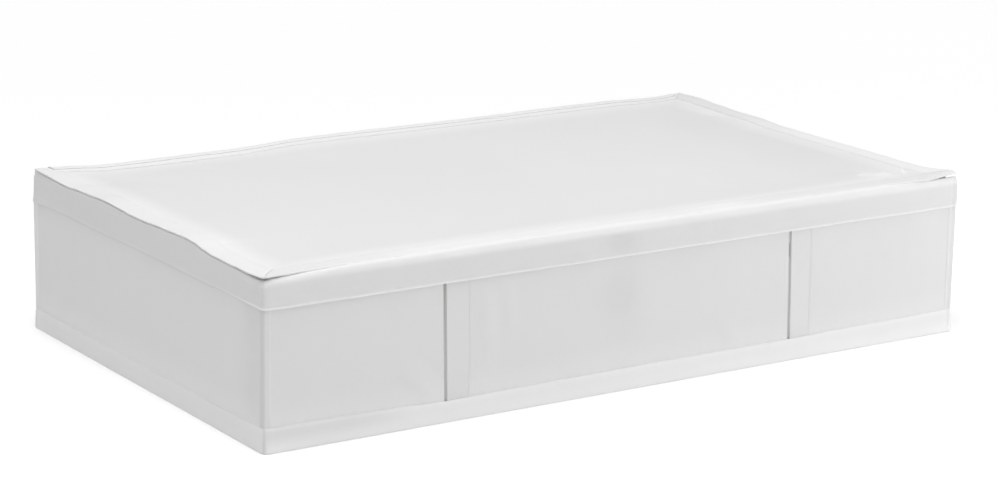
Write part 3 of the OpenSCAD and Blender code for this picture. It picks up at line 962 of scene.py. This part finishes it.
def long_wall(side, sign):
    """Three pockets and two fold strips of the front (sign 1) or of the back, which is turned half round."""
    strips = list(FOLD_STRIPS.values())
    slits = [(a - SLIT_W, a) for a, _ in strips]
    names = ["left", "middle", "right"] if sign > 0 else ["right", "middle", "left"]
    ends = [(None, slits[0][0]), (strips[0][1], slits[1][0]), (strips[1][1], None)]
    lines, pieces = [], []
    for name, (low, high) in zip(names, ends):
        piece, points, u = skin(side, f"{side}_pocket_{name}", low, high)
        pieces.append(piece)
        if low is not None:
            column = TURNED_COLUMNS + nearest(u[TURNED_COLUMNS:], low + STITCH_IN)
            lines.append(column_line(points, column, 2))
        if high is not None:
            lines.append(column_line(points, nearest(u[:-TURNED_COLUMNS], high - STITCH_IN), 2))
    for name, (low, high) in zip((names[0], names[2]), strips):
        piece, points, u = fold_strip(side, f"{side}_fold_{name}", low, high)
        pieces.append(piece)
        lines.append(column_line(points, nearest(u, low + STITCH_IN), 2))
    return pieces, lines


# ---- Inside ----

def lining(side):
    """The inner face of a wall, with two stitched channels where a long wall's boards meet."""
    outer, inner = 4.0 * MM, 4.55 * MM
    u = columns(side, step=5 * MM, corner=LINING_R)
    z = spread(BASE_TOP + 0.8 * MM, SEAM_Z + 3 * MM, 5 * MM)
    place = wall(side, u[:, None], z, 0)
    loose = 0.5 + 0.5 * ripple(place, 0.14, 71) + 0.18 * ripple(place, 0.03, 77, (1, 1, 4))
    hold = smooth(half_turn(side, LINING_R) - np.abs(u), 0, 30 * MM)[:, None]
    hold = hold * smooth(z, 0, 30 * MM) * (1 - smooth(z, SEAM_Z - 20 * MM, SEAM_Z))
    relief = np.clip(1.3 * MM * loose * hold, 0, None)
    channels = FOLD_LINES if side in ("front", "back") else ()
    for x in channels:
        relief = relief * (1 - bell(u - x, 6 * MM))[:, None]
    points = wall(side, u[:, None], z, inner + relief, LINING_R)
    thickness = inner - outer - 0.15 * MM
    piece = sewn(f"{side}_lining", points, thickness, "case", LINING, flip=True)
    lines = [column_line(points, nearest(u, x), facing=-1) for x in channels]
    return piece, [*lines, row_line(points, -2, facing=-1)]


def base_lining():
    """The inner floor. It is drawn down along the two lines where the base's boards meet."""
    low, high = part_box("base_lining")
    inset = 1.2 * MM
    x = np.unique(np.concatenate([spread(low.x + inset, high.x - inset, 5 * MM), FOLD_LINES]))
    across, y = x[:, None], spread(low.y + inset, high.y - inset, 5 * MM)[None, :]
    place = spots(across, y, 0)
    edge = np.minimum(high.x - np.abs(across), high.y - np.abs(y))
    relief = 1.2 * MM * (0.5 + 0.5 * ripple(place, 0.2, 81) + 0.15 * ripple(place, 0.05, 87))
    relief = np.clip(relief * smooth(edge, 4 * MM, 40 * MM), 0, None)
    for line in FOLD_LINES:
        relief = relief * (1 - bell(across - line, 8 * MM))
    points = spots(across, y, BASE_TOP - 0.1 * MM + relief)
    piece = sewn("base_lining", points, THICK["floor"], "case", LINING)
    return piece, [column_line(points, nearest(x, line), 3) for line in FOLD_LINES]


def base_skin():
    """The cloth under the case."""
    low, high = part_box("base_skin")
    inset, step = 1.6 * MM, 9 * MM
    x = spread(low.x + inset, high.x - inset, step)[:, None]
    y = spread(low.y + inset, high.y - inset, step)[None, :]
    unevenness = (1 + ripple(spots(x, y, 0), 0.1, 91)).clip(0)
    points = spots(x, y, 0.06 * MM + 0.04 * MM * unevenness)
    return sewn("base_skin", points, THICK["skin"], "case", SHELL, PLAIN, flip=True)


# ---- Lid ----

def finer_ends(low, high):
    """Places from low to high, close together near both ends."""
    run, fine, coarse = 76 * MM, 2.4 * MM, 5.5 * MM
    first, last = spread(low, low + run, fine), spread(high - run, high, fine)
    return np.concatenate([first[:-1], spread(low + run, high - run, coarse), last[1:]])


# Painted highlights on the lid near its front right corner: start and end of each
LID_PAINTED_HIGHLIGHTS = [((387, -203), (391, -199)), ((384, -230), (392, -227)), ((372, -206), (376, -212))]


def lid_panel():
    edge = 1.4 * MM
    x = finer_ends(-HALF_L + edge, HALF_L - edge)
    y = finer_ends(-HALF_D + edge, LID_BACK - edge)
    x, y = np.meshgrid(x, y, indexing="ij")
    near = np.minimum.reduce([x + HALF_L, HALF_L - x, y + HALF_D, LID_BACK - y])
    share = 0.85 * (1 - smooth(near, 22 * MM, 62 * MM))
    # Painted highlight: a lighter patch at the front right corner.
    share = share + 1.2 * bell(HALF_L - x, 110 * MM) * bell(y + HALF_D, 90 * MM)
    right_half = smooth(x, -90 * MM, 150 * MM) * (1 - smooth(x, 300 * MM, 390 * MM))
    share = share + 0.28 * right_half * (1 - smooth(y, 120 * MM, 240 * MM))
    for start, end in LID_PAINTED_HIGHLIGHTS:
        share = share + crease(x, y, start, end, 6, 0.9) / MM
    share = PLAIN + (1 - PLAIN) * share
    return sewn("lid_panel", lid_place(x, y, 0), THICK["lid"], "lid", SHELL, share)


# Section of the border round the lid's edge: distance in from the edge, and height over the lid's top
BORDER_SECTION = [
    (25.4, 0.1), (25.2, 0.42), (24.3, 0.62), (14.0, 0.84), (5.0, 0.86), (1.6, 0.74), (0.45, 0.3), (0.0, -0.5),
    (0.5, -1.25), (1.4, -1.6), (2.7, -1.6),
]
# How much of the second colour each side of the border has, with painted light where it is lighter and
# painted shade where it is darker: (place along it in millimetres, share)
BORDER_SHARES = {
    "front": [
        (-465, 0.0), (-400, 0.0), (-340, 0.1), (-270, 0.46), (60, 0.46), (130, 0.72), (190, 0.32),
        (330, 0.22), (465, 0.2),
    ],
    "back": [(-465, 0.4), (465, 0.4)],
    "left": [(-275, 0.28), (60, 0.28), (100, 0.1), (150, 0.3), (275, 0.3)],
    "right": [(-275, 1.0), (-240, 1.0), (-205, 0.75), (0, 0.7), (90, 0.25), (180, 0.0), (275, 0.0)],
}


def lid_border(side):
    """One side of the border, folded round the lid's edge, with mitred ends."""
    section = rounded(BORDER_SECTION, 34) * MM
    inward, height = section[:, 0], section[:, 1]
    long_side = side in ("front", "back")
    share = np.linspace(0, 1, 232 if long_side else 138)[:, None]
    low_x, high_x, low_y, high_y = -HALF_L + inward, HALF_L - inward, -HALF_D + inward, LID_BACK - inward
    if long_side:
        x = low_x + (high_x - low_x) * share
        x, y = (x, low_y) if side == "front" else (-x, high_y)
    else:
        height = height - 0.1 * MM
        y = low_y + (high_y - low_y) * share + (share - 0.5) * 1.2 * MM
        x, y = (low_x, low_y + high_y - y) if side == "left" else (high_x, y)
    points = lid_place(x, y, height)
    tone = through(x if long_side else y, BORDER_SHARES[side]) / MM
    piece = sewn(f"lid_border_{side}", points, THICK["border"], "lid", FOLDED_EDGE, tone, flip=True)
    inner_seam, edge_seam = 23.0 * MM, 3.4 * MM
    rows = nearest(inward[:14], inner_seam), nearest(inward[:24], edge_seam)
    return piece, [row_line(points, row, 2, facing=-1) for row in rows]


# ---- Hinge ----

def hinge_strip():
    """The strip that joins the back band to the lid. It is on the outside of the fold, and bends with it."""
    section = rounded([
        (271.75, 160.0), (271.9, 172.0), (272.5, 181.0), (273.2, 186.0), (273.5, 188.4), (272.9, 190.1),
        (271.0, 190.95), (266.0, 191.2), (260.6, 191.2), (259.1, 190.95), (258.6, 190.2),
    ], 48) * MM
    x = np.linspace(HALF_L - HINGE_IN, -HALF_L + HINGE_IN, 224)[:, None]
    y = section[:, 0] + 0.12 * MM * ripple(spots(x, 0, 0), 0.05, 95)
    level = section[:, 1]
    top = smooth(level, LID_Z - 12 * MM, LID_Z + 0.6 * MM)
    points = spots(x, y, level + top * lid_rise(x + 0 * y, np.minimum(y, LID_BACK)))
    piece = cloth("hinge_strip", points, THICK["hinge"])
    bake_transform(piece, "case", "lid", start=(0, 273.0 * MM, 185.2 * MM), end=(0, 272.0 * MM, 190.4 * MM))
    dress(piece, "case", HINGE_CLOTH, "hinge_strip")
    return piece, row_line(points, nearest(section[:24, 1], 162.5 * MM))


def hinge_facing():
    """The narrow strip over the hinge on the inside, from the back band to the lid's underside."""
    section = rounded([
        (269.6, 176.0), (269.5, 183.0), (269.4, 186.4), (268.6, 187.8), (265.5, 188.05), (256.0, 188.0),
    ], 30) * MM
    x = np.linspace(-HALF_L + HINGE_IN, HALF_L - HINGE_IN, 190)[:, None]
    y, level = section[:, 0] + 0 * x, section[:, 1]
    z = level + smooth(level, 180 * MM, 187.5 * MM) * lid_rise(x + 0 * y, y)
    piece = cloth("hinge_facing", spots(x, y, z), THICK["facing"])
    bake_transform(piece, "case", "lid", start=(0, 269.6 * MM, 185.0 * MM), end=(0, 264.5 * MM, 188.2 * MM))
    return dress(piece, "case", TRIM)


# ---- Zip ----

def zip_line(spacing):
    """Points along the zip at its own depth, from the right end's back round the front to the left end's,
    with the direction along it and the direction out at each."""
    r = ZIP_R - COIL_DEPTH
    side_x, front_y = HALF_L - COIL_DEPTH, -HALF_D + COIL_DEPTH
    centre_x, centre_y = HALF_L - ZIP_R, -HALF_D + ZIP_R
    turn = np.linspace(0, math.pi / 2, 24)[1:-1]
    right = np.stack([centre_x + r * np.cos(turn), centre_y - r * np.sin(turn)], axis=1)
    left = np.stack([-centre_x - r * np.sin(turn), centre_y - r * np.cos(turn)], axis=1)
    path = np.vstack([
        (side_x, ZIP_BACK), (side_x, centre_y), right, (centre_x, front_y),
        (-centre_x, front_y), left, (-side_x, centre_y), (-side_x, ZIP_BACK),
    ])
    path = resample(path, round(distances(path)[-1] / spacing))
    along = unit(np.gradient(path, axis=0))
    blend = smooth(-path[:, 0], centre_x - 6 * MM, side_x)
    lift = edge_lift("front", path[:, 0]) * (1 - blend) + edge_lift("left", -path[:, 1]) * blend
    lift = np.minimum(lift, 0) * smooth(-path[:, 0], -HALF_L + 2 * ZIP_R, -HALF_L + 8 * ZIP_R)
    out = spots(-along[:, 1], along[:, 0], 0)
    return np.column_stack([path, lift]), np.column_stack([along, 0 * lift]), out


def zip_coil(name, body, phase):
    """A spiral of round filament: one side of the zip's teeth."""
    pitch, turn_steps = 1.7 * MM, 8
    points, along, out = zip_line(pitch / turn_steps)
    angle = np.arange(len(points)) * math.tau / turn_steps + phase
    wide, tall = 0.82 * MM, 1.42 * MM
    line = points + UP * COIL_Z[name] + out * (wide * np.cos(angle))[:, None]
    line = line + UP * (tall * np.sin(angle))[:, None]
    p, f, rings = tube(line, FILAMENT_R, along, sides=4)
    faces = [tuple(q) for q in f] + [tuple(rings[0][::-1]), tuple(rings[-1])]
    return dress(mesh_object(f"{name}_spiral", p, faces), body, COIL, name)


def zip_tape(name, body, section):
    """A tape along the zip. section is (depth, height) points in millimetres, from its lower edge."""
    points, _, out = zip_line(4 * MM)
    profile = rounded(section, 16) * MM
    offset = COIL_DEPTH - profile[:, 0]
    grid = points[:, None] + out[:, None] * offset[None, :, None] + UP * profile[None, :, 1, None]
    if body == "lid":
        rise = lid_rise(grid[..., 0], grid[..., 1])
        wanted = smooth(profile[:, 0], 5.0 * MM, 10 * MM)[None, :]
        grid[..., 2] += wanted * (rise - points[:, 2][:, None])
    return sewn(name, grid, THICK["tape"], body, TAPE, flip=True)


def zip_end_tabs():
    """A folded tab of cloth over each end of the zip, sewn to the end walls."""
    low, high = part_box("zip_end_tabs")
    y = np.linspace(ZIP_BACK - 1.5 * MM, high.y + 1 * MM, 14)
    z = np.linspace(low.z, high.z + 3 * MM, 16)
    arch_y, arch_z = (np.sin(np.linspace(0, math.pi, len(places))) for places in (y, z))
    puff = 0.5 * MM * np.outer(arch_y, arch_z)
    right = spots(high.x + puff, y[:, None], z)
    left = spots(-high.x - puff, y[:, None], z)[::-1]
    return sewn("zip_end_tabs", [right, left], THICK["tab"], "case", TRIM)


def keep_with(node, material, bevel=0.0):
    """A CAD node that keeps its shape and takes a better material, with its edges eased."""
    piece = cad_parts[node]
    piece.data.materials.clear()
    piece.data.materials.append(material)
    if bevel:
        ease = piece.modifiers.new("eased edges", "BEVEL")
        ease.width = bevel
        ease.segments = 2
        ease.limit_method = "ANGLE"
        ease.angle_limit = math.radians(35)
        ease.harden_normals = False


# ---- Put together ----

def declare(piece, length, width, held, on):
    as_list(on)


def build_case():
    lines = []
    skin_h = SEAM_Z - HEM_Z + 5 * MM
    for side, sign in (("front", 1), ("back", -1)):
        pieces, more = long_wall(side, sign)
        lines += more
        for piece in pieces:
            low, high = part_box(piece["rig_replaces"][0])
            declare(piece, high.x - low.x + 10 * MM, skin_h, "stretched", [f"{side}_board_middle"])
    for side in ("left", "right"):
        declare(skin(side, f"{side}_skin")[0], 2 * HALF_D, skin_h, "stretched", [f"{side}_board"])
    for side in SIDES:
        length = 2 * SIDES[side][2]
        piece, line = hem(side)
        lines.append(line)
        declare(piece, length, CUT["hem"], "stretched", ["base_skin"])
        piece, line = band(side)
        lines.append(line)
        width = CUT["low band" if side == "right" else "band"]
        declare(piece, length, width, "hung", [f"{side}_lining"])
    for name, (before, _) in CORNERS.items():
        piece, more = corner_binding(name)
        lines += more
        height = SEAM_Z - HEM_Z + 3 * MM - MM * HEM_EDGES[before][-1][1]
        declare(piece, 2 * BINDING_LEG, height, "folded", [name.split("_")[1] + "_hem"])
    stitches("case_stitches", lines, "case")
    declare(base_skin(), 2 * HALF_L, 2 * HALF_D, "laid", ["base_board_middle"])


def build_inside():
    lines = []
    for side in SIDES:
        piece, more = lining(side)
        lines += more
        declare(piece, 2 * SIDES[side][2] - 9 * MM, SEAM_Z - BASE_TOP, "hung", [f"{side}_band"])
    piece, more = base_lining()
    lines += more
    declare(piece, 2 * HALF_L, 2 * HALF_D, "laid", ["base_board_middle"])
    stitches("lining_stitches", lines, "case")
    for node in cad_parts:
        if "_board" in node:
            keep_with(node, BOARD)


def build_lid():
    lines = []
    declare(lid_panel(), 2 * HALF_L, LID_BACK + HALF_D, "stretched", ["front_band", "back_band"])
    for side in ("front", "back", "left", "right"):
        piece, more = lid_border(side)
        lines += more
        length = 2 * HALF_L - BORDER_W if side in ("front", "back") else LID_BACK + HALF_D - BORDER_W
        declare(piece, length, CUT["border"], "folded", ["lid_panel"])
    stitches("lid_stitches", lines, "lid")
    hinge_l = 2 * HALF_L - 2 * HINGE_IN
    strip, wall_line = hinge_strip()
    stitches("hinge_stitches", [wall_line], "case")
    declare(strip, hinge_l, CUT["hinge"], "folded", ["back_band", "lid_border_back"])
    declare(hinge_facing(), hinge_l, CUT["facing"], "folded", ["back_band", "lid_panel"])


def build_zip():
    run = 2 * HALF_L + 2 * (HALF_D + ZIP_BACK) - 20 * MM
    zip_coil("zip_coil_wall", "case", 0.0)
    zip_coil("zip_coil_lid", "lid", math.pi)
    section = [(4.9, 166.0), (4.9, 172.0), (4.95, 180.6)]
    declare(zip_tape("zip_tape_wall", "case", section), run, CUT["wall tape"], "hung", ["front_band"])
    section = [(4.9, 186.2), (4.95, 187.2), (5.6, 187.85), (8.0, 187.95), (14.0, 187.95)]
    declare(zip_tape("zip_tape_lid", "lid", section), run, CUT["lid tape"], "hung", ["lid_panel"])
    declare(zip_end_tabs(), *TAB_CUT, "folded", ["zip_tape_wall"])
    for node in ("zip_bottom_stop", "zip_top_stop_wall", "zip_top_stop_lid", "slider_body", "pull_tab"):
        keep_with(node, METAL, 0.18 * MM)


# ---- Stage, light and camera ----

FLOOR_R = 14
FLOOR_GLOW = 0.12
FAR_GLOW = 0.18
SKY = 0.06
SUN_POWER = 2.45
SUN_FROM = (-0.02, 0.03, 1.0)
TOP_POWER = 7.9
SIDE_POWER = 8.2
VIEW = (-33.474, 14.258, 0.98)   # the camera's turn, height and roll, in degrees
VIEW_DISTANCE = 3.501
VIEW_TARGET = Vector((0.0014, 0.0, 0.1028))
LENS = 107.44


def stage_floor():
    """A plain pale floor, which also glows a little so that the studio stays white."""
    ring = 64
    angle = np.arange(ring) * math.tau / ring
    points = np.vstack([(0, 0, 0), spots(FLOOR_R * np.cos(angle), FLOOR_R * np.sin(angle), 0)])
    faces = [(0, i + 1, (i + 1) % ring + 1) for i in range(ring)]
    floor = mesh_object("studio_floor", points, faces)
    add, finished = blank_material("studio floor")
    away = add("ShaderNodeVectorMath", "Value", {0: add("ShaderNodeTexCoord", "Object")}, operation="LENGTH")
    glow = {"Value": away, "From Min": 0.7, "From Max": 2.6, "To Min": FLOOR_GLOW, "To Max": FAR_GLOW}
    floor.data.materials.append(finished({
        "Base Color": (0.95, 0.95, 0.95, 1), "Roughness": 0.9, "Specular IOR Level": 0.1,
        "Emission Color": (1, 1, 1, 1),
        "Emission Strength": add("ShaderNodeMapRange", "Result", glow, interpolation_type="SMOOTHSTEP"),
    }))


def area_light(name, place, target, size, power):
    lamp = bpy.data.lights.new(name, "AREA")
    lamp.shape = "DISK"
    lamp.size = size
    lamp.energy = power
    holder = in_scene(name, lamp)
    holder.location = place
    holder.rotation_euler = (Vector(target) - Vector(place)).to_track_quat("-Z", "Y").to_euler()


def studio():
    world = bpy.data.worlds.new("studio")
    world.use_nodes = True
    background = world.node_tree.nodes["Background"]
    background.inputs["Color"].default_value = (1, 1, 1, 1)
    background.inputs["Strength"].default_value = SKY
    bpy.context.scene.world = world
    sun = bpy.data.lights.new("ceiling", "SUN")
    sun.energy = SUN_POWER
    sun.angle = math.radians(90)
    in_scene("ceiling", sun).rotation_euler = Vector(SUN_FROM).to_track_quat("Z", "Y").to_euler()
    area_light("top softbox", (-0.6, -0.45, 1.7), (-0.1, -0.1, 0.1), 1.2, TOP_POWER)
    area_light("side softbox", (1.5, -1.25, 0.3), (0.2, -0.275, 0.1), 0.55, SIDE_POWER)
    bpy.context.scene.view_settings.view_transform = "Standard"


def camera():
    """A long lens, low and to the left of the front, and tilted by a degree."""
    azimuth, elevation, roll = (math.radians(angle) for angle in VIEW)
    level = math.cos(elevation)
    back = Vector((math.sin(azimuth) * level, -math.cos(azimuth) * level, math.sin(elevation)))
    right = Vector((math.cos(azimuth), math.sin(azimuth), 0))
    up = back.cross(right)
    right, up = right * math.cos(roll) + up * math.sin(roll), up * math.cos(roll) - right * math.sin(roll)
    data = bpy.data.cameras.new("camera")
    data.sensor_width = 36
    data.lens = LENS
    data.clip_end = 100
    turned = Matrix((right, up, back)).transposed().to_4x4()
    turned.translation = VIEW_TARGET + back * VIEW_DISTANCE
    holder = in_scene("camera", data)
    holder.matrix_world = turned
    bpy.context.scene.camera = holder


build_case()
build_inside()
build_lid()
build_zip()
stage_floor()
studio()
camera()

bpy.context.view_layer.update()
